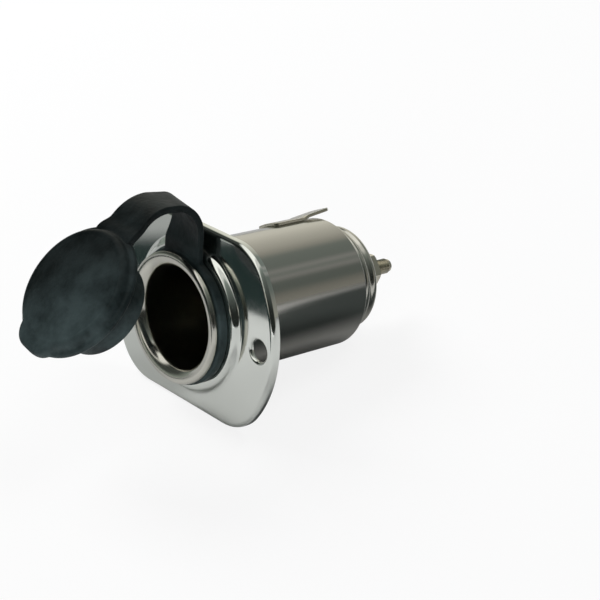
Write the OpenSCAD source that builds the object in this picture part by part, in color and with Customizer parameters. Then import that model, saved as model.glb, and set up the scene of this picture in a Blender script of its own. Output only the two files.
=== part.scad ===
// Panel power socket with a rubber dust cover.
// The bore runs along Y. The open front faces -Y and the stud points to +Y.
// Y = 0 is the panel face, where the plate's turned-back rim seats.
// The plate's long axis, with its two screw holes, is X. The cover's strap stands at +Z.

/* [Cup] */
// Radius of the bore that takes the plug
bore_r = 10.7; // [10.5:0.05:11]
// Sheet thickness of the cup
cup_wall = 0.7; // [0.5:0.05:0.9]
// How far the flared lip reaches beyond the bore
lip_reach = 3.3; // [3:0.1:3.6]
// Thickness of the lip's rolled edge
lip_t = 1.5; // [1.2:0.05:1.8]
// Radius of the flare from the bore to the lip's crest
flare_r = 2.5; // [2:0.1:2.5]
// Place of the cup's closed rear end
cup_end_y = 42.1; // [40:0.1:46]
// How far the front ridge of the rolled thread stands out of the cup
ridge_front_h = 1.3; // [0.8:0.05:1.7]
// How far the rear ridge of the rolled thread stands out of the cup
ridge_rear_h = 0.3; // [0.3:0.05:1]
// Radius of a ridge's round back
ridge_r = 1.1; // [0.9:0.05:1.2]
// Distance between the two ridges
ridge_pitch = 3; // [2.6:0.1:3.4]
// Place where the bore steps in to the narrower foot of the cup
foot_step_y = 35.5; // [33:0.5:35.5]
// Depth of that step
foot_step = 0.3; // [0.1:0.05:0.4]
// Radius of the hole in the cup's rear end
cup_end_hole_r = 3.4; // [3:0.1:4.5]

/* [Face plate] */
// Distance from the sleeve's outside to the foot of the raised collar
collar_reach = 2.9; // [2.6:0.1:3.6]
// Distance from the collar's foot to the plate's two round ends
end_reach = 9.4; // [8.6:0.1:11]
// Distance from the collar's foot to the plate's two flat sides
flat_reach = 2.8; // [2.2:0.1:3.6]
// Radius of the four corners
plate_corner_r = 13; // [11:0.5:14]
// Depth of the turned-back rim
plate_depth = 1.8; // [1.6:0.1:3]
// Sheet thickness of the plate
plate_t = 0.8; // [0.6:0.05:1]
// Outside radius of the bend at the rim
rim_r = 1.4; // [1.2:0.05:1.5]
// Distance of each screw hole from the plate's round end
screw_margin = 4.4; // [4:0.1:5]
// Radius of the screw holes
screw_hole_r = 2.3; // [1.8:0.05:2.5]
// Extra radius of the shallow countersink round each hole
screw_sink = 0.4; // [0.2:0.05:0.5]
// Height of the raised collar
collar_rise = 1.3; // [1:0.05:2]
// Radius of the collar's outward bend, on its front
collar_crest_r = 1.4; // [1.1:0.05:1.6]
// Radius of the collar's inward bend, on its front
collar_root_r = 1.2; // [0.9:0.05:1.4]
// Radial gap round the cup where it passes through the plate and the ring
cup_gap = 0.15; // [0.1:0.05:0.3]

/* [Clamp sleeve] */
// Room between the cup and the sleeve, for the rolled thread
sleeve_gap = 2.1; // [1.8:0.05:2.5]
// Wall of the sleeve
sleeve_wall = 0.8; // [0.6:0.05:1]
// Place of the sleeve's rear end
sleeve_end_y = 36; // [30:0.5:36.5]
// Radius of the sleeve's rear edge
sleeve_edge_r = 0.5; // [0.3:0.05:0.55]

/* [Rubber cover] */
// Thickness of the ring under the lip
ring_t = 2; // [1.6:0.1:2.6]
// How far the ring stands out past the lip
ring_over = 0.4; // [0.1:0.05:0.8]
// Width of the strap
strap_w = 11; // [9:0.5:13]
// Thickness of the strap and of the cap's flange
strap_t = 1.4; // [1.1:0.05:1.8]
// Distance from the ring's outside to the top of the strap's foot
foot_rise = 2.1; // [1.9:0.1:3]
// Distance from the ring's front to the front of the strap's foot
strap_set = 0.3; // [0.2:0.05:0.5]
// Radius of the fillets where the foot widens into the ring
foot_fillet_r = 2; // [1.5:0.1:2.3]
// Straight length above the foot
strap_rise = 4.4; // [1:0.1:5]
// Radius of the bend over the ring, on the strap's middle line
bend_back_r = 5; // [4:0.1:7]
// Straight length over the crown
strap_crown = 5.1; // [1:0.1:6]
// Radius of the bend above the cap, on the strap's middle line
bend_front_r = 6.5; // [5:0.1:9]
// Straight length above the cap's tongue
strap_drop = 1.1; // [0.8:0.1:4]
// How far the cap leans back from its closed direction
cap_tilt = 38.2; // [20:0.2:55]
// How far the cap's flange reaches beyond the bore
flange_reach = 3.1; // [2.8:0.1:3.8]
// Length of the cap's tongue, from the flange to the strap
tongue = 1.5; // [1:0.1:2.5]
// How far the cap's face disc stands in from the flange
face_inset = 1.2; // [0.8:0.1:1.8]
// Height of the face disc above the flange
face_h = 2; // [1.6:0.1:3]
// Radius of the face disc's round edge
face_edge_r = 1.2; // [0.8:0.1:1.4]
// Length of the plug below the flange
plug_len = 7; // [5:0.1:8]
// Radial gap between the plug and the bore
plug_gap = 0.65; // [0.5:0.05:0.9]
// Width of the pull tab
tab_w = 12; // [9:0.5:14]
// How far the pull tab stands out past the flange
tab_over = 1; // [0.8:0.1:3.2]
// Radius of the pull tab's corners
tab_corner_r = 4; // [2:0.5:4.5]

/* [Contacts and stud] */
// Radius of the stud
stud_r = 1.75; // [1.5:0.05:2.1]
// Place of the stud's tip
stud_tip_y = 56.7; // [54:0.1:60]
// Radius of the stud's head
stud_head_r = 3.6; // [3:0.1:4.5]
// Thickness of the stud's head
stud_head_t = 1.6; // [1:0.1:2.5]
// Radius of the centre contact
contact_r = 6; // [5:0.1:8]
// Sheet thickness of the centre contact
contact_t = 0.8; // [0.5:0.1:1.2]
// Height of the centre contact's raised middle
contact_rise = 1; // [0.6:0.1:1.6]
// Thickness of the insulating disc inside the cup
disc_t = 2; // [1.5:0.1:3]
// Radius of the insulating washer behind the cup
washer_r = 7.5; // [6:0.1:9]
// Thickness of the insulating washer behind the cup
washer_t = 2.8; // [2:0.1:4]
// Radial gap round the stud's shank
stud_gap = 0.1; // [0.05:0.05:0.2]
// Depth of the stud's thread, left off where the nut and the washers sit
thread_h = 0.3; // [0.25:0.05:0.4]
// Radius of the flat washer
flat_washer_r = 4.7; // [4.2:0.1:5.5]
// Thickness of the flat washer
flat_washer_t = 0.8; // [0.5:0.1:1.2]
// Radius of the lock washer
lock_washer_r = 3.7; // [3.4:0.1:4.2]
// Thickness of the lock washer
lock_washer_t = 1; // [0.6:0.1:1.4]
// Width of the split in the lock washer
lock_split = 0.8; // [0.5:0.1:1.2]
// Width of the nut across its flats
nut_af = 8; // [7:0.1:8.5]
// Thickness of the nut
nut_t = 3.4; // [2.4:0.1:4]
// Turn of the nut, from a corner at +X towards +Z
nut_turn = 6; // [0:1:30]

/* [Earth tab] */
// Direction of the earth tab round the bore axis, from +X towards +Z
earth_angle = 115; // [100:1:130]
// Width of the earth tab
earth_w = 6.3; // [4.8:0.1:6.5]
// Thickness of the earth tab
earth_t = 0.7; // [0.5:0.05:1]
// Place where the earth tab starts on the sleeve
earth_y = 23.5; // [15:0.5:24]
// Length of the part that lies on the sleeve
earth_base = 8.5; // [8:0.5:12]
// Length of the free blade
earth_blade = 8; // [8:0.5:12]
// Angle at which the blade rises from the sleeve
earth_rise = 6; // [2:0.5:8]

/* [Hidden] */
$fn = 96;
far = 100;

// Stack along the bore, from the panel face to the front
plate_y = -plate_depth;
collar_y = plate_y - collar_rise;
ring_y = collar_y - ring_t;
lip_y = ring_y - lip_t;

// Cup
lip_r = bore_r + lip_reach;
cup_r = bore_r + cup_wall;
pass_r = cup_r + cup_gap;
flare_crest_r = bore_r + flare_r;
lip_edge_r = lip_r - lip_t / 2;
ridge_rear_y = cup_end_y - ridge_r;
ridge_front_y = ridge_rear_y - ridge_pitch;
ridge_rear_axis_r = cup_r + ridge_rear_h - ridge_r;
ridge_front_axis_r = cup_r + ridge_front_h - ridge_r;

// Plate outline: two flats, two round ends and four corner arcs that cross both at a small angle
sleeve_r = cup_r + sleeve_gap + sleeve_wall;
collar_foot_r = sleeve_r + collar_reach;
plate_r = collar_foot_r + end_reach;
plate_half_h = collar_foot_r + flat_reach;
screw_x = plate_r - screw_margin;
corner_lap = 0.1;
corner_z = plate_half_h - plate_corner_r + corner_lap;
corner_x = sqrt(pow(plate_r - plate_corner_r + corner_lap, 2) - pow(corner_z, 2));

// Collar: two bends of the same angle, which make up its height
collar_angle = acos(1 - collar_rise / (collar_crest_r + collar_root_r));
collar_top_r = collar_foot_r - (collar_crest_r + collar_root_r) * sin(collar_angle);

// Strap: its middle line, from the ring's foot to the cap's tongue
ring_r = lip_r + ring_over;
strap_foot_z = ring_r + foot_rise;
strap_y = ring_y + strap_set + strap_t / 2;
back_bend_z = strap_foot_z + strap_rise;
back_bend_y = strap_y - bend_back_r;
crown_z = back_bend_z + bend_back_r;
front_bend_y = back_bend_y - strap_crown;
front_bend_z = crown_z - bend_front_r;
front_turn = 90 - cap_tilt;
drop_y = front_bend_y - bend_front_r * sin(front_turn);
drop_z = front_bend_z + bend_front_r * cos(front_turn);

// Cap: centre of the flange's middle plane, found from the strap's end
flange_r = bore_r + flange_reach;
face_r = flange_r - face_inset;
tab_reach = flange_r + tab_over;
cap_reach = strap_drop + tongue + flange_r;
cap_y = drop_y - cap_reach * sin(cap_tilt);
cap_z = drop_z - cap_reach * cos(cap_tilt);
face_y = -strap_t / 2 - face_h;
plug_r = bore_r - plug_gap;
plug_end_y = strap_t / 2 + plug_len;
flange_edge_r = strap_t / 2;

// Stack along the stud
cup_floor_y = cup_end_y - cup_wall;
disc_y = cup_floor_y - disc_t;
contact_y = disc_y - contact_t;
head_y = contact_y - contact_rise;
washer_end_y = cup_end_y + washer_t;
flat_end_y = washer_end_y + flat_washer_t;
lock_end_y = flat_end_y + lock_washer_t;
stud_hole_r = stud_r + stud_gap;
nut_end_y = lock_end_y + nut_t;
foot_r = bore_r - foot_step;
boss_r = cup_end_hole_r - stud_gap;

// Earth tab
earth_half_angle = asin(earth_w / 2 / sleeve_r);

// Points of an arc about [cx, cy], from angle a0 to a1
function arc(cx, cy, r, a0, a1, n = 10) =
    [for (i = [0 : n]) let (a = a0 + (a1 - a0) * i / n) [cx + r * cos(a), cy + r * sin(a)]];

// Turns a section drawn as [radius, y] about the Y axis, from +X towards +Z
module turned(angle = 360) {
    rotate([-90, 0, 0]) mirror([0, 1, 0]) rotate_extrude(angle = angle) children();
}

// Extrudes an outline drawn as [x, z] from y0 to y1
module slab(y0, y1) {
    translate([0, y1, 0]) rotate([90, 0, 0]) linear_extrude(y1 - y0) children();
}

// Extrudes an outline drawn as [y, z] to both sides of the middle plane
module side_cut(width) {
    rotate([90, 0, 90]) translate([0, 0, -width / 2]) linear_extrude(width) children();
}

// A cylinder along Y from y0 to y1
module rod(r, y0, y1) {
    translate([0, y0, 0]) rotate([-90, 0, 0]) cylinder(r = r, h = y1 - y0);
}

// A washer along Y from y0 to y1
module washer(r, hole_r, y0, y1) {
    difference() {
        rod(r, y0, y1);
        rod(hole_r, y0 - 1, y1 + 1);
    }
}

// Half section of a round-edged body, from its middle line out to a reach
module edge_section(reach, front_y, back_y, edge_r) {
    polygon(concat([[0, front_y]],
        arc(reach - edge_r, front_y + edge_r, edge_r, -90, 0, 5),
        [[reach, back_y], [0, back_y]]));
}

// All of a sheet but the quarter past one corner's centre, drawn as [x, z]
module past_corner() {
    polygon([[corner_x, corner_z], [corner_x, far], [-far, far], [-far, -far], [far, -far],
        [corner_x * far, corner_z * far]]);
}

// The plate's body, with a round front edge along its flats, its ends and its corners
module pan(inset, front_y, back_y, edge_r) {
    intersection() {
        turned() edge_section(plate_r - inset, front_y, back_y, edge_r);
        rotate([0, -90, 0]) translate([0, 0, -plate_r]) linear_extrude(2 * plate_r)
            for (side = [0, 1]) mirror([side, 0])
                edge_section(plate_half_h - inset, front_y, back_y, edge_r);
        intersection_for (sx = [0, 1]) intersection_for (sz = [0, 1])
            mirror([sx, 0, 0]) mirror([0, 0, sz]) {
                translate([corner_x, 0, corner_z]) turned()
                    edge_section(plate_corner_r - inset, front_y, back_y, edge_r);
                slab(front_y - 1, back_y + 1) past_corner();
            }
    }
}

// Section of the collar: flat land under the ring, outward bend and inward bend
module collar_section() {
    turn = collar_angle;
    crest = [collar_top_r, collar_y + collar_crest_r];
    root = [collar_foot_r, plate_y - collar_root_r];
    polygon(concat(
        [[pass_r, collar_y]],
        arc(crest[0], crest[1], collar_crest_r, -90, turn - 90),
        arc(root[0], root[1], collar_root_r, 90 + turn, 90),
        arc(root[0], root[1], collar_root_r + plate_t, 90, 90 + turn),
        arc(crest[0], crest[1], collar_crest_r - plate_t, turn - 90, -90),
        [[pass_r, collar_y + plate_t]]));
}

// Pressed plate: flat face, raised collar, turned-back rim and two sunk screw holes
module face_plate() color("gainsboro") {
    difference() {
        union() {
            difference() {
                pan(0, plate_y, 0, rim_r);
                pan(plate_t, plate_y + plate_t, plate_depth, rim_r - plate_t);
                rod(collar_foot_r, -far, far);
            }
            turned() collar_section();
        }
        for (sx = [-1, 1]) translate([sx * screw_x, 0, 0]) {
            rod(screw_hole_r, -far, far);
            turned() polygon([[0, plate_y - 1], [screw_hole_r + screw_sink + 1, plate_y - 1],
                [screw_hole_r, plate_y + screw_sink], [0, plate_y + screw_sink]]);
        }
    }
}

// Section of a ridge that is rolled out of the cup's wall
module ridge_section(axis_r, y) {
    intersection() {
        translate([axis_r, y]) circle(ridge_r, $fn = 32);
        translate([bore_r + cup_wall / 2, y - ridge_r]) square(2 * ridge_r);
    }
}

// Cup: flared lip with a rolled edge, straight bore, rolled thread and holed rear end
module socket_cup() color("silver") {
    turned() {
        polygon(concat(
            arc(flare_crest_r, lip_y + flare_r, flare_r, 180, 270),
            arc(lip_edge_r, lip_y + lip_t / 2, lip_t / 2, -90, 90),
            [[cup_r, ring_y], [cup_r, cup_end_y - cup_wall]],
            arc(cup_r - cup_wall, cup_end_y - cup_wall, cup_wall, 0, 90, 4),
            [[cup_end_hole_r, cup_end_y], [cup_end_hole_r, cup_floor_y], [foot_r, cup_floor_y],
             [foot_r, foot_step_y], [bore_r, foot_step_y]]));
        ridge_section(ridge_front_axis_r, ridge_front_y);
        ridge_section(ridge_rear_axis_r, ridge_rear_y);
    }
}

// Sleeve round the cup: plain front end, rear end turned in to the rolled thread
module clamp_sleeve() color("darkgray") {
    front_y = collar_y + plate_t;
    inner_r = sleeve_r - sleeve_wall;
    turned() polygon(concat(
        [[inner_r, front_y], [sleeve_r, front_y]],
        arc(sleeve_r - sleeve_edge_r, sleeve_end_y - sleeve_edge_r, sleeve_edge_r, 0, 90, 6),
        [[pass_r, sleeve_end_y], [pass_r, sleeve_end_y - sleeve_wall],
         [inner_r, sleeve_end_y - sleeve_wall]]));
}

// Outline of the foot that joins the ring to the strap, widened by two fillets
module foot_outline() {
    base_z = ring_r * cos(asin((strap_w / 2 + foot_fillet_r) / ring_r));
    difference() {
        translate([-strap_w / 2 - foot_fillet_r, pass_r])
            square([strap_w + 2 * foot_fillet_r, strap_foot_z - pass_r]);
        for (sx = [-1, 1]) {
            translate([sx * (strap_w / 2 + foot_fillet_r), base_z + foot_fillet_r])
                circle(foot_fillet_r);
            translate([sx * (strap_w / 2 + foot_fillet_r), strap_foot_z + base_z + foot_fillet_r])
                square([2 * foot_fillet_r, 2 * strap_foot_z], center = true);
        }
    }
}

// Rubber ring between the collar and the lip, with the strap's foot
module cover_ring() color("darkslategray") {
    edge = 0.4;
    difference() {
        union() {
            turned() polygon([[pass_r, ring_y], [ring_r - edge, ring_y], [ring_r, ring_y + edge],
                [ring_r, collar_y], [pass_r, collar_y]]);
            slab(strap_y - strap_t / 2, strap_y + strap_t / 2) foot_outline();
        }
        rod(pass_r, -far, far);
    }
}

// One bend of the strap about [cy, cz], drawn as [y, z]
module strap_bend(cy, cz, r, a0, a1) {
    reach = 3 * r;
    translate([cy, cz]) intersection() {
        difference() {
            circle(r + strap_t / 2);
            circle(r - strap_t / 2);
        }
        polygon([[0, 0], [reach * cos(a0), reach * sin(a0)], [reach * cos(a1), reach * sin(a1)]]);
    }
}

// Rubber strap: up from the foot, over the crown and down to the cap's tongue
module cover_strap() color("darkslategray") {
    side_cut(strap_w) {
        translate([strap_y - strap_t / 2, strap_foot_z]) square([strap_t, strap_rise]);
        strap_bend(back_bend_y, back_bend_z, bend_back_r, 0, 90);
        translate([front_bend_y, crown_z - strap_t / 2]) square([strap_crown, strap_t]);
        strap_bend(front_bend_y, front_bend_z, bend_front_r, 90, 90 + front_turn);
        translate([drop_y, drop_z]) rotate(-cap_tilt) translate([-strap_t / 2, -strap_drop])
            square([strap_t, strap_drop]);
    }
}

// Outline of the pull tab and of the tongue, drawn as [x, z] from the cap's axis
module tab_outline() {
    flat_half_w = tab_w / 2 - tab_corner_r;
    translate([-tab_w / 2, -tab_reach + tab_corner_r]) square([tab_w, tab_reach / 2]);
    translate([-flat_half_w, -tab_reach]) square([2 * flat_half_w, tab_corner_r + 1]);
    for (sx = [-1, 1]) translate([sx * flat_half_w, -tab_reach + tab_corner_r]) circle(tab_corner_r);
}

// Rubber cap: face disc, flange, solid plug, thick pull tab and the tongue to the strap
module cover_cap() color("darkslategray") {
    step = 0.3;
    nose = 0.8;
    translate([0, cap_y, cap_z]) rotate([-cap_tilt, 0, 0]) {
        turned() polygon(concat(
            [[0, face_y]],
            arc(face_r - face_edge_r, face_y + face_edge_r, face_edge_r, -90, 0),
            [[face_r, -strap_t / 2 - step], [face_r + step, -strap_t / 2]],
            arc(flange_r - flange_edge_r, 0, flange_edge_r, -90, 90),
            [[plug_r, strap_t / 2], [plug_r, plug_end_y - nose]],
            [[plug_r - nose, plug_end_y], [0, plug_end_y]]));
        slab(face_y + step, strap_t / 2) tab_outline();
        slab(-strap_t / 2, strap_t / 2) translate([-strap_w / 2, plug_r])
            square([strap_w, flange_r + tongue - plug_r]);
    }
}

// Insulating disc on the cup's floor
module contact_disc() color("peru") washer(foot_r - cup_gap, stud_hole_r, disc_y, cup_floor_y);

// Sheet contact: a ring on the disc and a raised middle under the stud's head
module centre_contact() color("darkgoldenrod") {
    crown_r = stud_head_r + contact_t;
    turned() polygon([[stud_hole_r, head_y], [crown_r, head_y],
        [crown_r + contact_rise, contact_y], [contact_r + contact_rise, contact_y],
        [contact_r + contact_rise, disc_y], [crown_r + contact_rise - contact_t / 2, disc_y],
        [crown_r - contact_t / 2, head_y + contact_t], [stud_hole_r, head_y + contact_t]]);
}

// Stud: round head inside the cup and a shank out through the rear end
module centre_stud() color("goldenrod") {
    tip = 0.4;
    turned() polygon([[0, head_y - stud_head_t], [stud_head_r - tip, head_y - stud_head_t],
        [stud_head_r, head_y - stud_head_t + tip], [stud_head_r, head_y],
        [stud_r - thread_h, head_y], [stud_r - thread_h, nut_end_y], [stud_r, nut_end_y],
        [stud_r, stud_tip_y - tip], [stud_r - tip, stud_tip_y], [0, stud_tip_y]]);
}

// Insulating washer behind the cup, with a boss that keeps the stud off the hole
module stud_insulator() color("saddlebrown") {
    difference() {
        union() {
            rod(washer_r, cup_end_y, washer_end_y);
            rod(boss_r, cup_floor_y, cup_end_y);
        }
        rod(stud_hole_r, -far, far);
    }
}

module flat_washer() color("silver") {
    washer(flat_washer_r, stud_hole_r, washer_end_y, flat_end_y);
}

module lock_washer() color("darkgray") {
    difference() {
        washer(lock_washer_r, stud_hole_r, flat_end_y, lock_end_y);
        translate([-lock_split / 2, flat_end_y - 1, 0])
            cube([lock_split, lock_washer_t + 2, lock_washer_r + 1]);
    }
}

// Hexagon nut with chamfered corners
module stud_nut() color("silver") {
    corner_r = nut_af / 2 / cos(30);
    bevel = (corner_r - nut_af / 2) / 2;
    difference() {
        intersection() {
            translate([0, lock_end_y, 0]) rotate([0, -nut_turn, 0]) rotate([-90, 0, 0])
                cylinder(r = corner_r, h = nut_t, $fn = 6);
            turned() polygon([[0, lock_end_y], [corner_r - bevel, lock_end_y],
                [corner_r + bevel, lock_end_y + bevel],
                [corner_r + bevel, nut_end_y - bevel],
                [corner_r - bevel, nut_end_y], [0, nut_end_y]]);
        }
        rod(stud_r - thread_h / 2, -far, far);
    }
}

// Earth tab: a base that follows the sleeve and a blade that rises from it
module earth_tab() color("silver") {
    rotate([0, -earth_angle, 0]) {
        rotate([0, earth_half_angle, 0]) turned(2 * earth_half_angle)
            translate([sleeve_r, earth_y]) square([earth_t, earth_base]);
        translate([sleeve_r, earth_y + earth_base, -earth_w / 2]) rotate([0, 0, -earth_rise])
            cube([earth_t, earth_blade, earth_w]);
    }
}

face_plate();
socket_cup();
clamp_sleeve();
cover_ring();
cover_strap();
cover_cap();
contact_disc();
centre_contact();
centre_stud();
stud_insulator();
flat_washer();
lock_washer();
stud_nut();
earth_tab();
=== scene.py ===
# Panel-mounted 12 V power socket with a rubber dust cover, in the order in which it is put together.
from math import asin, atan2, cos, pi, radians, sin, sqrt

import bmesh
import bpy
from mathutils import Matrix, Vector
from mathutils.geometry import interpolate_bezier


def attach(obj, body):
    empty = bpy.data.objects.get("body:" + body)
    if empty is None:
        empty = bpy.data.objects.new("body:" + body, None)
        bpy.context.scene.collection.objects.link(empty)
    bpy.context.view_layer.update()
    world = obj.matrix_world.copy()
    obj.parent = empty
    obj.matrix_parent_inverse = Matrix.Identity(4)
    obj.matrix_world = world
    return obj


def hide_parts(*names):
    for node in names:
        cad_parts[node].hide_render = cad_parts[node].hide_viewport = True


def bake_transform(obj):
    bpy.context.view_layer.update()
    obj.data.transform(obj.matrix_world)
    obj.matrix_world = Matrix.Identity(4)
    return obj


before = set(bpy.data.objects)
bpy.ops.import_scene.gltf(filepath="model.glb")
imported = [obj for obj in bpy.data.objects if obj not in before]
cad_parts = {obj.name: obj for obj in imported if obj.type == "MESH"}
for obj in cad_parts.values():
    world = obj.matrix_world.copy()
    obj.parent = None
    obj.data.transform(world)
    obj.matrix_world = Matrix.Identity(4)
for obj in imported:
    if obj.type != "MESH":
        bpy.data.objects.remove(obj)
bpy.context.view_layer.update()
scene = bpy.context.scene
scene.view_settings.view_transform = "Standard"
bpy.ops.object.select_all(action="DESELECT")


# Camera: the photograph's view, from the front left and above, through a long lens.
# It is tipped a little to one side, because the socket lies on its plate's edge and its sleeve's end.
camera_place = Vector((0.2309, -0.1917, 0.1228))
camera_right = Vector((0.66557, 0.74168, 0.08327)).normalized()
camera_back = Vector((0.67163, -0.64386, 0.36656)).normalized()
camera_up = camera_back.cross(camera_right).normalized()
camera_right = camera_up.cross(camera_back)
bpy.ops.object.camera_add()
camera = bpy.context.object
camera.name = "camera"
focal_length_px = 1557.26
picture_px = 600.0
sensor_mm = 36.0
camera.data.sensor_width = sensor_mm
camera.data.lens = focal_length_px / picture_px * sensor_mm
camera.data.clip_start = 0.01
camera.data.clip_end = 20.0
camera.matrix_world = Matrix((
    (camera_right.x, camera_up.x, camera_back.x, camera_place.x),
    (camera_right.y, camera_up.y, camera_back.y, camera_place.y),
    (camera_right.z, camera_up.z, camera_back.z, camera_place.z),
    (0.0, 0.0, 0.0, 1.0)))
scene.camera = camera


# Floor: a sheet of white card under the socket, which rests on its plate's lower edge and its
# sleeve's rear end, so the card lies at a small angle to the bore. It is white to the camera. In the
# bright metal it has painted shade: it is painted a little dim all over, painted dark in front on the
# left, and painted with shadows of the socket and of its cap.
floor_lean = radians(9.0)
floor_z = -0.02005
bpy.ops.mesh.primitive_plane_add(size=6.0, location=(0.0, 0.0, floor_z), rotation=(floor_lean, 0.0, 0.0))
floor = bpy.context.object
floor.name = "floor_card"
white_card = bpy.data.materials.new("white_card")
white_card.use_nodes = True
card_nodes = white_card.node_tree.nodes
card_links = white_card.node_tree.links
card_nodes.clear()
card_out = card_nodes.new("ShaderNodeOutputMaterial")
card_ray = card_nodes.new("ShaderNodeLightPath")
card_matt = card_nodes.new("ShaderNodeBsdfDiffuse")
card_matt.inputs["Color"].default_value = (0.9, 0.9, 0.9, 1.0)
card_white = card_nodes.new("ShaderNodeEmission")
card_white.inputs["Color"].default_value = (1.0, 1.0, 1.0, 1.0)
card_share = card_nodes.new("ShaderNodeMath")
card_share.operation = "MULTIPLY"
card_share.inputs[1].default_value = 0.85
card_mix = card_nodes.new("ShaderNodeMixShader")
card_links.new(card_ray.outputs["Is Camera Ray"], card_share.inputs[0])
card_links.new(card_share.outputs[0], card_mix.inputs["Fac"])
card_links.new(card_matt.outputs[0], card_mix.inputs[1])
card_links.new(card_white.outputs[0], card_mix.inputs[2])
card_place = card_nodes.new("ShaderNodeTexCoord")
card_axes = card_nodes.new("ShaderNodeSeparateXYZ")
card_links.new(card_place.outputs["Object"], card_axes.inputs[0])


def card_sum(operation, first, second, third=0.0):
    """One step of arithmetic on the card's pattern, from outputs of nodes or plain numbers."""
    step = card_nodes.new("ShaderNodeMath")
    step.operation = operation
    for place, value in zip(step.inputs, (first, second, third)):
        if isinstance(value, float):
            place.default_value = value
        else:
            card_links.new(value, place)
    return step.outputs[0]


def card_fade(value, start, end, least=0.0):
    """A soft step on the card's pattern, from the least value up to one."""
    fade = card_nodes.new("ShaderNodeMapRange")
    fade.interpolation_type = "SMOOTHSTEP"
    fade.inputs["From Min"].default_value = start
    fade.inputs["From Max"].default_value = end
    fade.inputs["To Min"].default_value = least
    card_links.new(value, fade.inputs["Value"])
    return fade.outputs["Result"]


across_x = card_axes.outputs["X"]
along_y = card_axes.outputs["Y"]
front_slant = 0.3
front_edge = -0.079
left_end = (-0.125, -0.105)
far_share = 0.6
shade_near = (0.002, 0.026)
shade_far = (0.25, 0.1)
shade_side = (0.026, 0.018)
shade_depth = 0.94
cap_slant = -0.9
cap_side = (0.005, -0.004)
cap_share = 0.2
cap_depth = 0.28
painted_dim_everywhere = 0.144
# Painted dark reflection: seen only in the bright metal, the card is painted dark in front on the left,
# fading to part strength far to the left.
painted_dark_front = card_sum("LESS_THAN", card_sum("MULTIPLY_ADD", across_x, front_slant, along_y), front_edge)
at_left = card_fade(across_x, *left_end, far_share)
at_left = card_sum("MULTIPLY", at_left, card_sum("LESS_THAN", across_x, 0.0))
painted_dark_front = card_sum("MULTIPLY", painted_dark_front, at_left)
# Painted shadow of the socket: seen only in the bright metal, the card is painted dark behind the socket on
# its right, lighter further off.
in_shade = card_sum("MULTIPLY", card_fade(across_x, *shade_near), card_sum("GREATER_THAN", along_y, 0.0))
shade_ends = card_sum("MULTIPLY", card_fade(across_x, *shade_far, far_share), shade_depth)
in_shade = card_sum("MULTIPLY", shade_ends, in_shade)
beside = card_sum("SUBTRACT", across_x, along_y)
in_shade = card_sum("MULTIPLY", card_fade(beside, *shade_side), in_shade)
# Painted shadow of the cap and painted dimming: seen only in the bright metal, the card is painted darker
# under the cap and a little darker everywhere else.
cap_painted_shadow = card_fade(card_sum("MULTIPLY_ADD", along_y, cap_slant, across_x), *cap_side, cap_share)
cap_painted_shadow = card_sum("MULTIPLY_ADD", cap_painted_shadow, cap_depth, painted_dim_everywhere)
painted_shade_most = card_sum("MAXIMUM", card_sum("MAXIMUM", painted_dark_front, in_shade), cap_painted_shadow)
# The dark colour of the painted shade, which glossy rays see in place of the white card.
card_painted_shade = card_nodes.new("ShaderNodeBsdfDiffuse")
card_painted_shade.inputs["Color"].default_value = (0.018, 0.03, 0.029, 1.0)
card_with_painted_shade = card_nodes.new("ShaderNodeMixShader")
card_links.new(card_sum("MULTIPLY", painted_shade_most, card_ray.outputs["Is Glossy Ray"]), card_with_painted_shade.inputs["Fac"])
card_links.new(card_mix.outputs[0], card_with_painted_shade.inputs[1])
card_links.new(card_painted_shade.outputs[0], card_with_painted_shade.inputs[2])
card_links.new(card_with_painted_shade.outputs[0], card_out.inputs["Surface"])
floor.data.materials.append(white_card)


# Studio: a white room to the camera, and an even grey one for light. The bright metal alone mirrors a
# painted reflection of a darker room, drawn as two rings round the bore with angles counted from
# straight above to the right. Ring A, to the front, has a painted window above. Ring B, to the rear,
# is painted light on the left and dim above and on the right.
world = bpy.data.worlds.new("studio")
scene.world = world
world.use_nodes = True
room_nodes = world.node_tree.nodes
room_links = world.node_tree.links
room_nodes.clear()
room_out = room_nodes.new("ShaderNodeOutputWorld")
room_ray = room_nodes.new("ShaderNodeLightPath")
room_light = room_nodes.new("ShaderNodeBackground")
room_light.inputs["Color"].default_value = (0.62, 0.64, 0.66, 1.0)
room_light.inputs["Strength"].default_value = 0.35
room_seen = room_nodes.new("ShaderNodeBackground")
room_seen.inputs["Color"].default_value = (1.0, 1.0, 1.0, 1.0)
room_way = room_nodes.new("ShaderNodeTexCoord")
room_axes = room_nodes.new("ShaderNodeSeparateXYZ")
room_turn = room_nodes.new("ShaderNodeMath")
room_turn.operation = "ARCTAN2"
room_span = 120
room_angle = room_nodes.new("ShaderNodeMapRange")
room_angle.inputs["From Min"].default_value = radians(-room_span)
room_angle.inputs["From Max"].default_value = radians(room_span)
room_half = room_nodes.new("ShaderNodeMapRange")
room_half.inputs["From Min"].default_value = 0.15
room_half.inputs["From Max"].default_value = 0.4
room_both = room_nodes.new("ShaderNodeMix")
room_both.data_type = "RGBA"
room_links.new(room_way.outputs["Generated"], room_axes.inputs[0])
room_links.new(room_axes.outputs["X"], room_turn.inputs[0])
room_links.new(room_axes.outputs["Z"], room_turn.inputs[1])
room_links.new(room_turn.outputs[0], room_angle.inputs["Value"])
room_links.new(room_axes.outputs["Y"], room_half.inputs["Value"])
room_links.new(room_half.outputs["Result"], room_both.inputs["Factor"])
warm = (1.0, 0.985, 0.88)
white = (1.0, 1.0, 0.97)
cool = (0.9, 1.02, 0.94)
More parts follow.
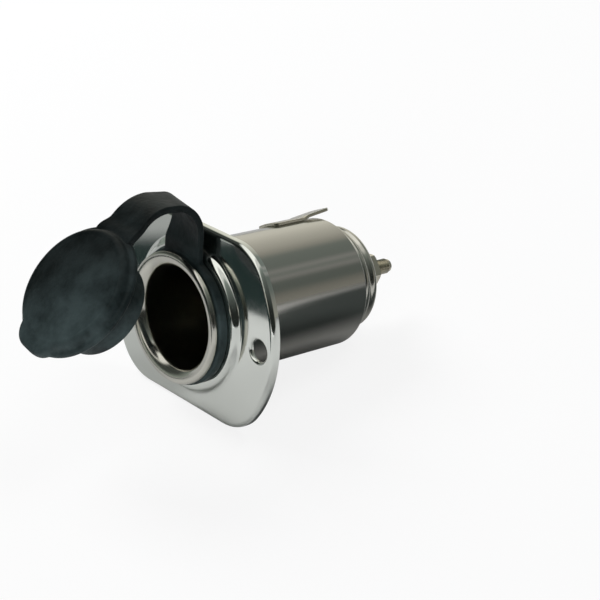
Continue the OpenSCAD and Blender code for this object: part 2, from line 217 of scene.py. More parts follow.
for side, painted_bands in (
        ("A", ((-110, 0.5, warm), (-90, 0.3, cool), (-72, 0.07, cool), (-38, 0.05, cool),
               (-30, 0.95, white), (5, 1.05, white), (12, 0.6, white), (22, 0.7, white),
               (30, 0.25, cool), (40, 0.16, cool), (57, 0.08, cool), (77, 0.02, cool))),
        ("B", ((-110, 0.66, warm), (-61, 0.76, warm), (-42, 0.62, warm), (-21, 0.47, warm),
               (-11, 0.36, warm), (-1, 0.21, cool), (20, 0.19, cool), (27, 0.3, white),
               (33, 0.2, cool), (39, 0.28, white), (47, 0.14, cool), (59, 0.14, cool),
               (70, 0.22, warm), (80, 0.27, warm), (92, 0.24, warm), (100, 0.07, cool)))):
    ramp = room_nodes.new("ShaderNodeValToRGB")
    for angle, brightness, tint in painted_bands:
        stop = ramp.color_ramp.elements.new((angle + room_span) / (2 * room_span))
        stop.color = (*[brightness * part for part in tint], 1.0)
    ramp.color_ramp.elements[0].color = ramp.color_ramp.elements[1].color
    ramp.color_ramp.elements[-1].color = ramp.color_ramp.elements[-2].color
    room_links.new(room_angle.outputs["Result"], ramp.inputs["Fac"])
    room_links.new(ramp.outputs["Color"], room_both.inputs[side])
room_painted_reflection = room_nodes.new("ShaderNodeBackground")
room_gloss = room_nodes.new("ShaderNodeMixShader")
room_mix = room_nodes.new("ShaderNodeMixShader")
room_links.new(room_both.outputs["Result"], room_painted_reflection.inputs["Color"])
room_links.new(room_ray.outputs["Is Glossy Ray"], room_gloss.inputs["Fac"])
room_links.new(room_light.outputs[0], room_gloss.inputs[1])
room_links.new(room_painted_reflection.outputs[0], room_gloss.inputs[2])
room_links.new(room_ray.outputs["Is Camera Ray"], room_mix.inputs["Fac"])
room_links.new(room_gloss.outputs[0], room_mix.inputs[1])
room_links.new(room_seen.outputs[0], room_mix.inputs[2])
room_links.new(room_mix.outputs[0], room_out.inputs["Surface"])
for lamp_name, place, size_x, size_y, power in (
        ("lamp_left", (-0.7, -0.15, 0.65), 0.5, 0.5, 7.0),
        ("lamp_above", (0.15, 0.35, 0.9), 0.5, 0.4, 2.0),
        ("lamp_front", (0.5, -0.8, 0.06), 0.25, 0.3, 3.0)):
    bpy.ops.object.light_add(type="AREA", location=place)
    lamp = bpy.context.object
    lamp.name = lamp_name
    lamp.data.shape = "RECTANGLE"
    lamp.data.size = size_x
    lamp.data.size_y = size_y
    lamp.data.energy = power
    lamp.visible_glossy = False
    lamp.rotation_euler = (Vector(place) - Vector((0.0, 0.01, 0.0))).to_track_quat("Z", "Y").to_euler()


# Face plate: one pressing of thin polished stainless steel. Its edge is turned back to the panel,
# a collar is raised round the cup's hole, and two holes take the screws.
mm = 0.001


def bend(centre, radius, start, end, steps):
    """Points of an arc as [radius, y] or [x, z], in millimetres and degrees."""
    return [(centre[0] + radius * cos(radians(start + (end - start) * i / steps)),
             centre[1] + radius * sin(radians(start + (end - start) * i / steps)))
            for i in range(steps + 1)]


def drawn_line(name, points, closed=False):
    """A line of edges drawn from point to point in millimetres, left in edit mode."""
    bpy.ops.object.select_all(action="DESELECT")
    bpy.ops.mesh.primitive_plane_add(size=mm)
    piece = bpy.context.object
    piece.name = name
    piece.data.name = name
    bpy.ops.object.mode_set(mode="EDIT")
    bpy.ops.mesh.select_mode(type="VERT")
    bpy.ops.mesh.select_all(action="SELECT")
    bpy.ops.mesh.merge(type="CENTER")
    bpy.ops.transform.translate(value=[mm * v for v in points[0]])
    for here, there in zip(points, points[1:]):
        step = [mm * (b - a) for a, b in zip(here, there)]
        bpy.ops.mesh.extrude_vertices_move(TRANSFORM_OT_translate={"value": step})
    if closed:
        bpy.ops.mesh.select_all(action="SELECT")
        bpy.ops.mesh.edge_face_add()
    return piece


def shaded(piece, sharp=35.0):
    """Smooth shading up to an angle, with flat faces kept flat."""
    bpy.ops.object.select_all(action="DESELECT")
    piece.select_set(True)
    bpy.context.view_layer.objects.active = piece
    bpy.ops.object.shade_smooth_by_angle(angle=radians(sharp))
    bpy.ops.object.modifier_add(type="WEIGHTED_NORMAL")
    piece.modifiers[-1].keep_sharp = True
    bpy.ops.object.modifier_apply(modifier=piece.modifiers[-1].name)
    bpy.ops.object.select_all(action="DESELECT")


def turned(name, section, steps):
    """A section drawn as [radius, y], spun round the bore axis. A closed section ends where it starts."""
    piece = drawn_line(name, [(r, y, 0.0) for r, y in section])
    bpy.ops.mesh.select_all(action="SELECT")
    bpy.ops.mesh.spin(steps=steps, angle=2 * pi, center=(0.0, 0.0, 0.0), axis=(0.0, 1.0, 0.0))
    bpy.ops.mesh.select_all(action="SELECT")
    bpy.ops.mesh.remove_doubles(threshold=0.002 * mm)
    bpy.ops.mesh.normals_make_consistent(inside=False)
    bpy.ops.object.mode_set(mode="OBJECT")
    return piece


def cut_with(piece, cutter, operation="DIFFERENCE"):
    """Takes a cutter out of a piece, or keeps only what lies in it, and throws the cutter away."""
    bpy.ops.object.select_all(action="DESELECT")
    bpy.context.view_layer.objects.active = piece
    piece.select_set(True)
    bpy.ops.object.modifier_add(type="BOOLEAN")
    piece.modifiers[-1].operation = operation
    piece.modifiers[-1].solver = "EXACT"
    piece.modifiers[-1].object = cutter
    bpy.ops.object.modifier_apply(modifier=piece.modifiers[-1].name)
    bpy.data.objects.remove(cutter)


def picked(piece, wanted):
    """In edit mode, selects the edges that pass a test, which also gets their ends in millimetres."""
    bpy.ops.mesh.select_mode(type="EDGE")
    bpy.ops.mesh.select_all(action="DESELECT")
    mesh = bmesh.from_edit_mesh(piece.data)
    for edge in mesh.edges:
        edge.select_set(wanted(edge, [v.co / mm for v in edge.verts]))
    bmesh.update_edit_mesh(piece.data)


plate_end_r = 26.6
plate_half_h = 20.0
plate_corner_r = 11.0
plate_depth = 1.8
plate_t = 0.8
rim_r = 1.0
corner_z = plate_half_h - plate_corner_r
corner_x = sqrt((plate_end_r - plate_corner_r) ** 2 - corner_z ** 2)
corner_turn = atan2(corner_z, corner_x) * 180 / pi
quarter = bend((0.0, 0.0), plate_end_r, 0.0, corner_turn, 20)
quarter += bend((corner_x, corner_z), plate_corner_r, corner_turn, 90.0, 18)[1:]
quarter += [(corner_x * (1 - i / 14), plate_half_h) for i in range(1, 15)]
half = quarter + [(-x, z) for x, z in reversed(quarter[:-1])]
outline = half + [(x, -z) for x, z in reversed(half[1:-1])]
plate = drawn_line("plate", [(x, -plate_depth, z) for x, z in outline])
bpy.ops.mesh.select_all(action="DESELECT")
plate_mesh = bmesh.from_edit_mesh(plate.data)
plate_mesh.verts.ensure_lookup_table()
plate_mesh.edges.new((plate_mesh.verts[0], plate_mesh.verts[-1]))
bmesh.update_edit_mesh(plate.data)
collar_foot_r = 17.2
pass_r = 11.55
bpy.ops.mesh.primitive_circle_add(vertices=len(outline), radius=collar_foot_r * mm,
                                  location=(0.0, -plate_depth * mm, 0.0), rotation=(pi / 2, 0.0, 0.0))
bpy.ops.mesh.select_all(action="SELECT")
bpy.ops.mesh.bridge_edge_loops()
picked(plate, lambda edge, ends: edge.is_boundary and ends[0].xz.length > collar_foot_r + 1)
bpy.ops.mesh.extrude_edges_move(TRANSFORM_OT_translate={"value": (0.0, plate_depth * mm, 0.0)})
picked(plate, lambda edge, ends: all(p.xz.length > collar_foot_r + 1 and p.y < 0.001 - plate_depth
                                     for p in ends) and len(edge.link_faces) == 2
       and any(abs(face.normal.y) < 0.5 for face in edge.link_faces))
bpy.ops.mesh.bevel(offset=rim_r * mm, segments=8, affect="EDGES", clamp_overlap=False)
bpy.ops.object.mode_set(mode="OBJECT")
collar_rise = 1.3
crest_r = 1.4
root_r = 1.2
collar_turn = 180 / pi * (pi / 2 - asin(1 - collar_rise / (crest_r + root_r)))
collar_top_r = collar_foot_r - (crest_r + root_r) * sin(radians(collar_turn))
collar_y = -plate_depth - collar_rise
collar_section = [(pass_r, collar_y)]
collar_section += bend((collar_top_r, collar_y + crest_r), crest_r, -90, collar_turn - 90, 12)
collar_section += bend((collar_foot_r, -plate_depth - root_r), root_r, 90 + collar_turn, 90, 12)[1:]
collar = turned("collar", collar_section, steps=len(outline))
bpy.ops.object.select_all(action="DESELECT")
collar.select_set(True)
plate.select_set(True)
bpy.context.view_layer.objects.active = plate
bpy.ops.object.join()
bpy.ops.object.mode_set(mode="EDIT")
bpy.ops.mesh.select_all(action="SELECT")
bpy.ops.mesh.remove_doubles(threshold=0.01 * mm)
bpy.ops.mesh.normals_make_consistent(inside=False)
bpy.ops.object.mode_set(mode="OBJECT")
face_down = sum(polygon.normal.y for polygon in plate.data.polygons) > 0
bpy.ops.object.modifier_add(type="SOLIDIFY")
plate.modifiers[-1].thickness = (-1 if face_down else 1) * plate_t * mm
plate.modifiers[-1].offset = -1.0
plate.modifiers[-1].use_even_offset = True
bpy.ops.object.modifier_apply(modifier=plate.modifiers[-1].name)
screw_x = 22.2
hole_r = 2.3
sink_r = 0.6
hole_section = [(0.0, -4.0), (3.4, -4.0), (3.4, -plate_depth - 0.001)]
hole_section += bend((hole_r + sink_r, -plate_depth + sink_r), sink_r, -90, -180, 6)
hole_section += [(hole_r, 1.0), (0.0, 1.0)]
for side in (-1, 1):
    hole_cutter = turned("hole_cutter", hole_section, steps=48)
    bpy.context.view_layer.objects.active = hole_cutter
    bpy.ops.object.select_all(action="DESELECT")
    hole_cutter.select_set(True)
    bpy.ops.transform.translate(value=(side * screw_x * mm, 0.0, 0.0))
    cut_with(plate, hole_cutter)
shaded(plate)


def metal(name, colour, roughness, along=(1.0, 1.0, 1.0), scale=900.0, streak=0.1, dent=0.02):
    """Bright sheet metal. Its fine marks run along the bore, round it or all ways, as it was polished."""
    material = bpy.data.materials.new(name)
    material.use_nodes = True
    nodes = material.node_tree.nodes
    links = material.node_tree.links
    shader = nodes["Principled BSDF"]
    shader.inputs["Metallic"].default_value = 1.0
    shader.inputs["Base Color"].default_value = (*colour, 1.0)
    marks = nodes.new("ShaderNodeGroup")
    marks.node_tree = polish_marks
    marks.inputs["Roughness"].default_value = roughness
    marks.inputs["Spread"].default_value = streak
    marks.inputs["Stretch"].default_value = along
    marks.inputs["Fineness"].default_value = scale
    marks.inputs["Depth"].default_value = dent
    links.new(marks.outputs["Roughness"], shader.inputs["Roughness"])
    links.new(marks.outputs["Normal"], shader.inputs["Normal"])
    return material


polish_marks = bpy.data.node_groups.new("polish_marks", "ShaderNodeTree")
for socket_name, kind in (("Roughness", "Float"), ("Spread", "Float"), ("Stretch", "Vector"),
                          ("Fineness", "Float"), ("Depth", "Float")):
    polish_marks.interface.new_socket(name=socket_name, in_out="INPUT", socket_type="NodeSocket" + kind)
polish_marks.interface.new_socket(name="Roughness", in_out="OUTPUT", socket_type="NodeSocketFloat")
polish_marks.interface.new_socket(name="Normal", in_out="OUTPUT", socket_type="NodeSocketVector")
marks_in = polish_marks.nodes.new("NodeGroupInput")
marks_out = polish_marks.nodes.new("NodeGroupOutput")
marks_place = polish_marks.nodes.new("ShaderNodeTexCoord")
marks_turn = polish_marks.nodes.new("ShaderNodeVectorMath")
marks_turn.operation = "MULTIPLY"
marks_noise = polish_marks.nodes.new("ShaderNodeTexNoise")
marks_noise.inputs["Detail"].default_value = 4.0
marks_swing = polish_marks.nodes.new("ShaderNodeMath")
marks_swing.operation = "SUBTRACT"
marks_swing.inputs[1].default_value = 0.5
marks_sum = polish_marks.nodes.new("ShaderNodeMath")
marks_sum.operation = "MULTIPLY_ADD"
marks_bump = polish_marks.nodes.new("ShaderNodeBump")
marks_bump.inputs["Distance"].default_value = 0.02 * mm
group_links = polish_marks.links
group_links.new(marks_place.outputs["Object"], marks_turn.inputs[0])
group_links.new(marks_in.outputs["Stretch"], marks_turn.inputs[1])
group_links.new(marks_turn.outputs[0], marks_noise.inputs["Vector"])
group_links.new(marks_in.outputs["Fineness"], marks_noise.inputs["Scale"])
group_links.new(marks_noise.outputs["Fac"], marks_swing.inputs[0])
group_links.new(marks_swing.outputs[0], marks_sum.inputs[0])
group_links.new(marks_in.outputs["Spread"], marks_sum.inputs[1])
group_links.new(marks_in.outputs["Roughness"], marks_sum.inputs[2])
group_links.new(marks_noise.outputs["Fac"], marks_bump.inputs["Height"])
group_links.new(marks_in.outputs["Depth"], marks_bump.inputs["Strength"])
group_links.new(marks_sum.outputs[0], marks_out.inputs["Roughness"])
group_links.new(marks_bump.outputs[0], marks_out.inputs["Normal"])
polished_steel = metal("polished_steel", (0.81, 0.83, 0.78), 0.08, streak=0.05)
plate.data.materials.append(polished_steel)
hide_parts("face_plate")
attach(plate, "socket")


# Cup: drawn from nickel-plated sheet. Its mouth flares out to a rolled lip that clamps the rubber
# ring, and a coarse thread is rolled into its rear end for the sleeve.
bore_r = 10.7
cup_r = 11.4
cup_end_y = 42.1
flare_r = 2.5
flare_y = -4.1
lip_edge_r = 0.75
lip_back_y = -5.1
neck_r = 0.35
ridge_r = 1.0
cup_section = [(bore_r, flare_y)] + bend((bore_r + flare_r, flare_y), flare_r, 180, 270, 14)[1:]
cup_section += bend((13.25, lip_back_y - lip_edge_r), lip_edge_r, -90, 90, 12)[1:]
cup_section += [(cup_r + neck_r, lip_back_y)]
cup_section += bend((cup_r + neck_r, lip_back_y + neck_r), neck_r, -90, -180, 4)[1:] + [(cup_r, 36.2)]
cup_section += bend((11.7, 38.0), ridge_r, -100, 80, 12) + bend((12.15, 39.5), 0.55, 250, 130, 4)
cup_section += bend((bore_r, 41.0), ridge_r, -50, 60, 10)
cup_section += [(bore_r, cup_end_y), (3.4, cup_end_y), (3.4, 41.4), (10.2, 41.4)]
cup_section += [(10.4, 41.2), (10.4, 35.5), (bore_r, 35.2), (bore_r, flare_y)]
cup = turned("cup", cup_section, steps=192)
shaded(cup, 40.0)
bright_nickel = metal("bright_nickel", (0.66, 0.645, 0.58), 0.17, streak=0.1, dent=0.12)
cup.data.materials.append(bright_nickel)
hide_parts("socket_cup")
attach(cup, "socket")


# Clamp sleeve: a stainless tube that screws on to the cup's thread and draws the plate back on
# to the panel. It is brushed along its length, and its rear end is turned in.
sleeve_r = 14.3
sleeve_in_r = 13.5
sleeve_front_y = -2.3
sleeve_end_y = 36.0
sleeve_floor_y = 35.2
sleeve_edge_r = 0.5
sleeve_section = [(sleeve_in_r, sleeve_front_y), (sleeve_r, sleeve_front_y)]
sleeve_section += bend((sleeve_r - sleeve_edge_r, sleeve_end_y - sleeve_edge_r), sleeve_edge_r, 0, 90, 6)
sleeve_section += [(pass_r, sleeve_end_y), (pass_r, sleeve_floor_y), (sleeve_in_r, sleeve_floor_y)]
sleeve_section += [(sleeve_in_r, sleeve_front_y)]
sleeve = turned("sleeve", sleeve_section, steps=192)
shaded(sleeve, 40.0)
brushed_steel = metal("brushed_steel", (0.60, 0.585, 0.54), 0.15, along=(1.0, 0.02, 1.0), scale=700.0,
                      streak=0.1, dent=0.15)
sleeve.data.materials.append(brushed_steel)
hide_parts("clamp_sleeve")
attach(sleeve, "socket")


# Rubber cover: the ring, the strap and the cap are one black moulding. The ring is clamped between
# the collar and the lip, and the strap leaves it through a foot with rounded corners.
def grown_together(name, parts, soften):
    """Closed parts made one moulded piece, with small fillets where they meet."""
    bpy.ops.object.select_all(action="DESELECT")
    for part in parts:
        part.select_set(True)
    bpy.context.view_layer.objects.active = parts[0]
    bpy.ops.object.join()
    piece = bpy.context.object
    piece.name = name
    piece.data.name = name
    bpy.ops.object.modifier_add(type="REMESH")
    piece.modifiers[-1].mode = "VOXEL"
    piece.modifiers[-1].voxel_size = rubber_grain * mm
    bpy.ops.object.modifier_apply(modifier=piece.modifiers[-1].name)
    bpy.ops.object.modifier_add(type="SMOOTH")
    piece.modifiers[-1].factor = 0.5
    piece.modifiers[-1].iterations = soften
    bpy.ops.object.modifier_apply(modifier=piece.modifiers[-1].name)
    bpy.ops.object.shade_smooth()
    bpy.ops.object.select_all(action="DESELECT")
    return piece


def filled_slab(name, outline_points, y_front, y_back, edge=0.0):
    """A flat outline drawn as [x, z], filled and extruded along the bore, with a rounded edge."""
    piece = drawn_line(name, [(x, y_front, z) for x, z in outline_points], closed=True)
    bpy.ops.mesh.select_all(action="SELECT")
    bpy.ops.mesh.extrude_region_move(TRANSFORM_OT_translate={"value": (0.0, (y_back - y_front) * mm, 0.0)})
    bpy.ops.mesh.select_all(action="SELECT")
    bpy.ops.mesh.normals_make_consistent(inside=False)
    bpy.ops.object.mode_set(mode="OBJECT")
    if edge:
        bpy.ops.object.modifier_add(type="BEVEL")
        piece.modifiers[-1].width = edge * mm
        piece.modifiers[-1].segments = 4
        piece.modifiers[-1].limit_method = "ANGLE"
        piece.modifiers[-1].angle_limit = radians(50)
        bpy.ops.object.modifier_apply(modifier=piece.modifiers[-1].name)
    return piece


strap_w = 11.0
strap_t = 1.4
strap_y = -4.1
foot_top = 16.5
foot_base = 12.2
foot_fillet = 2.0
ring_r = 14.4
ring_back_y = -3.1
rubber_grain = 0.18
ring_section = [(pass_r, lip_back_y), (14.1, lip_back_y), (14.35, -4.85), (ring_r, -4.6)]
ring_section += [(ring_r, ring_back_y), (pass_r, ring_back_y), (pass_r, lip_back_y)]
ring = turned("ring", ring_section, steps=192)
fillet_x = strap_w / 2 + foot_fillet
fillet_z = sqrt(ring_r ** 2 - fillet_x ** 2)
foot_side = bend((fillet_x, fillet_z + foot_fillet), foot_fillet, 270, 180, 8)
foot_points = [(0.0, foot_base), (fillet_x, foot_base)] + foot_side + [(strap_w / 2, foot_top)]
foot_points += [(-x, z) for x, z in reversed(foot_points[1:])]
foot = filled_slab("foot", foot_points, strap_y - strap_t / 2, strap_y + strap_t / 2)
ring = grown_together("ring_and_foot", [ring, foot], 3)


def rubber(name, colour, roughness):
    """Black moulded rubber with a fine grain and a little dust, with painted light: paler low down and to
    the right, darker high up.
    """
    material = bpy.data.materials.new(name)
    material.use_nodes = True
    nodes = material.node_tree.nodes
    links = material.node_tree.links

    def noise(scale):
        """A noise pattern that is fixed to the rubber."""
        pattern = nodes.new("ShaderNodeTexNoise")
        pattern.inputs["Scale"].default_value = scale
        links.new(place.outputs["Object"], pattern.inputs["Vector"])
        return pattern

    def ranged(value, start, end, least, most):
        """A value carried from one range over to another."""
        step = nodes.new("ShaderNodeMapRange")
        for field, number in zip(("From Min", "From Max", "To Min", "To Max"), (start, end, least, most)):
            step.inputs[field].default_value = number
        links.new(value, step.inputs["Value"])
        return step.outputs["Result"]

    def relief(height, strength, depth):
        """Small bumps of the surface, of a depth in millimetres."""
        bumps = nodes.new("ShaderNodeBump")
        bumps.inputs["Strength"].default_value = strength
        bumps.inputs["Distance"].default_value = depth * mm
        links.new(height, bumps.inputs["Height"])
        return bumps

    shader = nodes["Principled BSDF"]
    shader.inputs["Specular IOR Level"].default_value = 0.15
    place = nodes.new("ShaderNodeTexCoord")
    haze = noise(110.0)
    haze.inputs["Detail"].default_value = 6.0
    haze.inputs["Roughness"].default_value = 0.62
    grain = noise(4000.0)
    tint = nodes.new("ShaderNodeMix")
    tint.data_type = "RGBA"
    tint.inputs["A"].default_value = (*[c * 0.4 for c in colour], 1.0)
    tint.inputs["B"].default_value = (*[c * 1.3 + 0.008 for c in colour], 1.0)
    links.new(ranged(haze.outputs["Fac"], 0.36, 0.64, 0.0, 1.0), tint.inputs["Factor"])
    # Painted light: the base colour is scaled from 0.6 times high up to 2.3 times low down and to the
    # right.
    low_right = nodes.new("ShaderNodeVectorMath")
    low_right.operation = "DOT_PRODUCT"
    low_right.inputs[1].default_value = (0.6, 0.0, -1.0)
    links.new(place.outputs["Object"], low_right.inputs[0])
    painted_light_low = nodes.new("ShaderNodeVectorMath")
    painted_light_low.operation = "SCALE"
    links.new(tint.outputs["Result"], painted_light_low.inputs[0])
    links.new(ranged(low_right.outputs["Value"], -18 * mm, 0.0, 0.6, 2.3), painted_light_low.inputs["Scale"])
    links.new(painted_light_low.outputs["Vector"], shader.inputs["Base Color"])
    gloss = ranged(haze.outputs["Fac"], 0.3, 0.7, roughness - 0.1, roughness + 0.1)
    links.new(gloss, shader.inputs["Roughness"])
    waves = relief(haze.outputs["Fac"], 0.35, 1.2)
    dents = relief(grain.outputs["Fac"], 0.15, 0.03)
    links.new(waves.outputs["Normal"], dents.inputs["Normal"])
    links.new(dents.outputs["Normal"], shader.inputs["Normal"])
    return material


black_rubber = rubber("black_rubber", (0.0105, 0.0175, 0.018), 0.5)
ring.data.materials.append(black_rubber)
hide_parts("cover_ring")
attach(ring, "socket")


# Strap: it rises from the foot, turns over the ring and runs down to the cap. It is the part of the
# moulding that flexes, in its lower half when the cover is lifted and in its upper half at the cap.
cap_tilt = 38.2
down = (-sin(radians(cap_tilt)), -cos(radians(cap_tilt)))
strap_tip = (-19.308, 23.420)
strap_in_foot = 0.8
strap_in_cap = 3.8
run_out_pull = 1.6


def strap_line(back_r, back_top, front_y, front_r, front_top, end_turn, lean):
    """The middle line of the strap's one edge as [y, z]: up, over the ring, down and into the cap's rim."""
    start = foot_top - strap_in_foot
    back_bend = (strap_y - back_r, back_top - back_r)
    front_bend = (front_y, front_top - front_r)
    line = [(strap_y, start + (back_bend[1] - start) * i / 14) for i in range(14)]
    line += bend(back_bend, back_r, 0, 88, 20)
    line = [(y + lean * sin(pi * max(z - foot_top, 0.0) / (front_top - foot_top)), z) for y, z in line]
    here = line[-1]
    line += [(here[0] + (front_y - here[0]) * i / 10, here[1] + (front_top - here[1]) * i / 10)
             for i in range(1, 10)]
    line += bend(front_bend, front_r, 90, end_turn, 18)
    end = Vector(line[-1])
    way = radians(end_turn + 90)
    end_pull = end + run_out_pull * Vector((cos(way), sin(way)))
    seat = Vector(strap_tip) + strap_in_cap * Vector(down)
    run_out = interpolate_bezier(end, end_pull, seat - run_out_pull * Vector(down), seat, 9)
    return line + run_out[1:]


def strap_length(name, first, last):
    """A length of the strap: its section, with rounded edges, carried along its middle line. The strap
    is twisted a little, so the bend over the ring is tighter at its left edge than at its right."""
    half_w = strap_w / 2
    half_t = strap_t / 2 + 0.02
    edge = 0.4
    section = []
    for sx, st, start in ((1, 1, 0), (-1, 1, 90), (-1, -1, 180), (1, -1, 270)):
        section += bend((sx * (half_w - edge), st * (half_t - edge)), edge, start, start + 90, 4)
    piece = drawn_line(name, [(x, 0.0, t) for x, t in section], closed=True)
    bpy.ops.object.mode_set(mode="OBJECT")
    left = strap_line(2.4, 25.1, -10.5, 10.3, 25.6, 136, 1.4)
    right = strap_line(7.0, 25.95, -12.6, 7.8, 26.0, 140, 0.0)
    mesh = bmesh.new()
    loops = []
    for i in range(first, last + 1):
        loop = []
        for x, t in section:
            share = x / strap_w + 0.5
            before, here, after = [Vector(left[k]).lerp(Vector(right[k]), share)
                                   for k in (max(i - 1, 0), i, min(i + 1, len(left) - 1))]
            way = (after - before).normalized()
            loop.append(mesh.verts.new((x * mm, (here.x + way.y * t) * mm, (here.y - way.x * t) * mm)))
        loops.append(loop)
    for low, high in zip(loops, loops[1:]):
        for i in range(len(section)):
            j = (i + 1) % len(section)
            mesh.faces.new((low[i], low[j], high[j], high[i]))
    mesh.faces.new(loops[0])
    mesh.faces.new(loops[-1])
    bmesh.ops.remove_doubles(mesh, verts=mesh.verts, dist=0.001 * mm)
    bmesh.ops.recalc_face_normals(mesh, faces=mesh.faces)
    mesh.to_mesh(piece.data)
    mesh.free()
    shaded(piece, 50.0)
    piece.data.materials.append(black_rubber)
    return piece


crown = 30
strap_end = 70
strap_foot = strap_length("strap_lower", 0, crown)
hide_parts("cover_strap")
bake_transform(strap_foot)
strap_top = strap_length("strap_upper", crown, strap_end)
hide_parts("cover_strap")
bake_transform(strap_top)


# Cap: a face disc on a flange, with a solid plug behind it and a thick pull tab at its lower edge.
# The strap runs into the flange's upper edge. It leans back from the bore, as it hangs.
face_y = -3.3
dome_r = 71.3
flange_half_t = 0.7
plug_r = 10.05
plug_end_y = 8.1
plug_nose_r = 0.6
face_section = bend((0.0, face_y + dome_r), dome_r, -90, -80.9, 12) + bend((11.4, -1.0), 1.5, -78, 0, 10)
face_section += [(12.95, -1.0), (13.1, -0.75)] + bend((13.3, 0.0), flange_half_t, -90, 90, 8)
face_section += [(plug_r, flange_half_t), (plug_r, 7.4)]
face_section += bend((plug_r - plug_nose_r, plug_end_y - plug_nose_r), plug_nose_r, 0, 90, 5)
face_section += [(0.0, plug_end_y)]
cap = turned("cap", face_section, steps=128)
tab_w = 12.0
tab_reach = 14.8
tab_r = 4.5
tab_root = -8.0
tab_turn = radians(8.0)
tab_points = [(-tab_w / 2, tab_root)]
tab_points += bend((-tab_w / 2 + tab_r, -tab_reach + tab_r), tab_r, 180, 270, 10)
tab_points += bend((tab_w / 2 - tab_r, -tab_reach + tab_r), tab_r, 270, 360, 10) + [(tab_w / 2, tab_root)]
tab_points = [(x * cos(tab_turn) + z * sin(tab_turn), z * cos(tab_turn) - x * sin(tab_turn))
              for x, z in tab_points]
tab = filled_slab("tab", tab_points, -2.3, 0.5, edge=0.9)
cap = grown_together("cap", [cap, tab], 4)
cap_reach = 16.4
cap_place = Vector((0.0, strap_tip[0] + down[0] * cap_reach, strap_tip[1] + down[1] * cap_reach)) * mm
cap.matrix_world = Matrix.Translation(cap_place) @ Matrix.Rotation(radians(-cap_tilt), 4, "X")
bpy.ops.object.select_all(action="DESELECT")
cap.select_set(True)
bpy.context.view_layer.objects.active = cap
bpy.ops.object.transform_apply(location=True, rotation=True, scale=True)
cap.data.materials.append(black_rubber)
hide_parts("cover_cap")
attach(cap, "cap")


# Rear end: the stud's nut and its washers clamp the contact to the cup through an insulating washer.
# The nut is plated, and the stud's thread runs out beyond it for the supply wire.
plated_hardware = metal("plated_hardware", (0.72, 0.68, 0.57), 0.22, streak=0.12, dent=0.08)
nut_flat = 4.0
nut_turn = 6.0
nut_front = 46.7
nut_back = 50.1
nut_corner = nut_flat / cos(pi / 6)
nut_points = bend((0.0, 0.0), nut_corner, nut_turn, nut_turn + 300, 5)
nut = filled_slab("nut", nut_points, nut_front, nut_back)
slope_r = 0.35
slope_y = 0.45
chamfer_section = [(0.0, nut_front), (nut_corner - slope_r, nut_front)]
chamfer_section += [(nut_corner + slope_r, nut_front + slope_y), (nut_corner + slope_r, nut_back - slope_y)]
chamfer_section += [(nut_corner - slope_r, nut_back), (0.0, nut_back)]
cut_with(nut, turned("chamfer", chamfer_section, steps=96), "INTERSECT")
nut_hole_section = [(0.0, 40.0), (1.7, 40.0), (1.7, nut_back - 0.4), (2.2, nut_back + 0.1)]
nut_hole_section += [(2.2, 60.0), (0.0, 60.0)]
cut_with(nut, turned("nut_hole", nut_hole_section, steps=64))
shaded(nut, 30.0)
nut.data.materials.append(plated_hardware)
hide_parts("stud_nut")
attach(nut, "socket")

thread_r = 1.45
thread_y = 49.9
pitch = 0.75
stud_section = [(0.0, 36.0), (2.9, 36.05)] + bend((3.1, 36.5), 0.5, -70, 0, 4)
stud_section += [(3.6, 37.6), (thread_r, 37.6), (thread_r, thread_y)]
for turn in range(8):
    y = thread_y + pitch * turn
    stud_section += [(thread_r, y + 0.05), (thread_r, y + 0.12), (1.75, y + 0.3), (1.75, y + 0.38)]
stud_section += [(thread_r, 56.0), (thread_r, 56.4), (1.2, 56.7), (0.0, 56.7)]
stud = turned("stud", stud_section, steps=72)
shaded(stud, 25.0)
stud.data.materials.append(plated_hardware)
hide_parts("centre_stud")
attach(stud, "socket")

plain_brass = metal("plain_brass", (0.62, 0.54, 0.38), 0.25, streak=0.12, dent=0.08)
brown_board = bpy.data.materials.new("brown_board")
brown_board.use_nodes = True
board_shader = brown_board.node_tree.nodes["Principled BSDF"]
board_shader.inputs["Base Color"].default_value = (0.10, 0.045, 0.02, 1.0)
board_shader.inputs["Roughness"].default_value = 0.6
for node, material in (("contact_disc", brown_board), ("stud_insulator", brown_board),
                       ("centre_contact", plain_brass), ("flat_washer", plated_hardware),
                       ("lock_washer", plated_hardware)):
    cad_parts[node].data.materials.clear()
    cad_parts[node].data.materials.append(material)


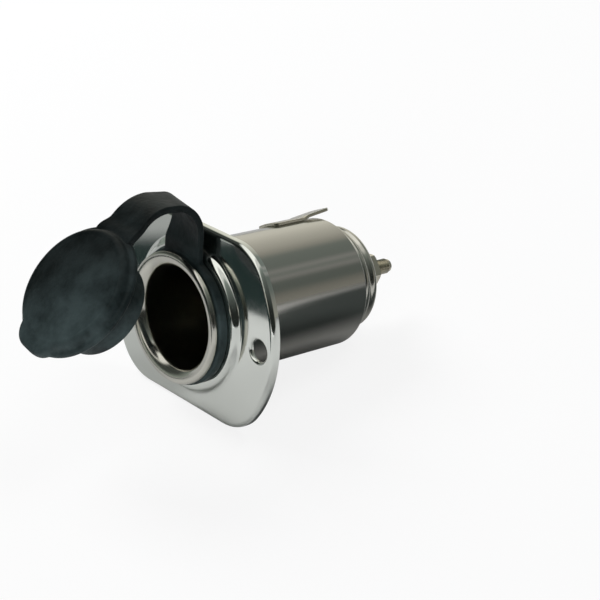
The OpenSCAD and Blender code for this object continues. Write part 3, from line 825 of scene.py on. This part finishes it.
# Earth tab: a blade stamped from plated sheet. Its base is curved to the sleeve, where it is fixed, and
# the blade flattens out and stands off at the rear for the earth wire.
earth_half_w = 3.15
earth_t = 0.7
earth_turn = radians(115.0)
blade_y = 32.0
blade_rise = radians(6.0)
flatten_y = 1.6
seat_r = 14.32
earth_rows = [(23.5, 2.5), (23.9, 2.95)]
earth_rows += [(y, earth_half_w) for y in (24.5, 27.0, 29.5, blade_y, blade_y + 0.5, blade_y + 1.0)]
earth_rows += [(blade_y + flatten_y, earth_half_w), (39.0, earth_half_w), (40.0, 2.3)]
earth = drawn_line("earth_blade", [(0.0, blade_y, 0.0), (1.0, blade_y, 0.0)])
bpy.ops.object.mode_set(mode="OBJECT")
mesh = bmesh.new()
across = Vector((-sin(earth_turn), 0.0, cos(earth_turn)))
outward = Vector((cos(earth_turn), 0.0, sin(earth_turn)))
sheet = []
for y, half_w in earth_rows:
    free = max(y - blade_y, 0.0)
    curved = max(1.0 - free / flatten_y, 0.0)
    row = []
    for i in range(9):
        w = half_w * (i / 4 - 1)
        sag = curved * (seat_r - sqrt(seat_r ** 2 - w ** 2))
        lift = seat_r - sag + free * sin(blade_rise)
        row.append(mesh.verts.new((outward * lift + across * w + Vector((0.0, y, 0.0))) * mm))
    sheet.append(row)
for low, high in zip(sheet, sheet[1:]):
    for i in range(8):
        mesh.faces.new((low[i], low[i + 1], high[i + 1], high[i]))
bmesh.ops.recalc_face_normals(mesh, faces=mesh.faces)
if sum(face.normal.dot(outward) for face in mesh.faces) < 0:
    bmesh.ops.reverse_faces(mesh, faces=mesh.faces)
mesh.to_mesh(earth.data)
mesh.free()
bpy.context.view_layer.objects.active = earth
bpy.ops.object.modifier_add(type="SOLIDIFY")
earth.modifiers[-1].thickness = earth_t * mm
earth.modifiers[-1].offset = 1.0
bpy.ops.object.modifier_apply(modifier=earth.modifiers[-1].name)
bpy.ops.object.modifier_add(type="BEVEL")
earth.modifiers[-1].width = 0.12 * mm
earth.modifiers[-1].segments = 2
earth.modifiers[-1].limit_method = "ANGLE"
earth.modifiers[-1].angle_limit = radians(60)
bpy.ops.object.modifier_apply(modifier=earth.modifiers[-1].name)
shaded(earth, 35.0)
earth.data.materials.append(plated_hardware)
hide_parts("earth_tab")
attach(earth, "socket")
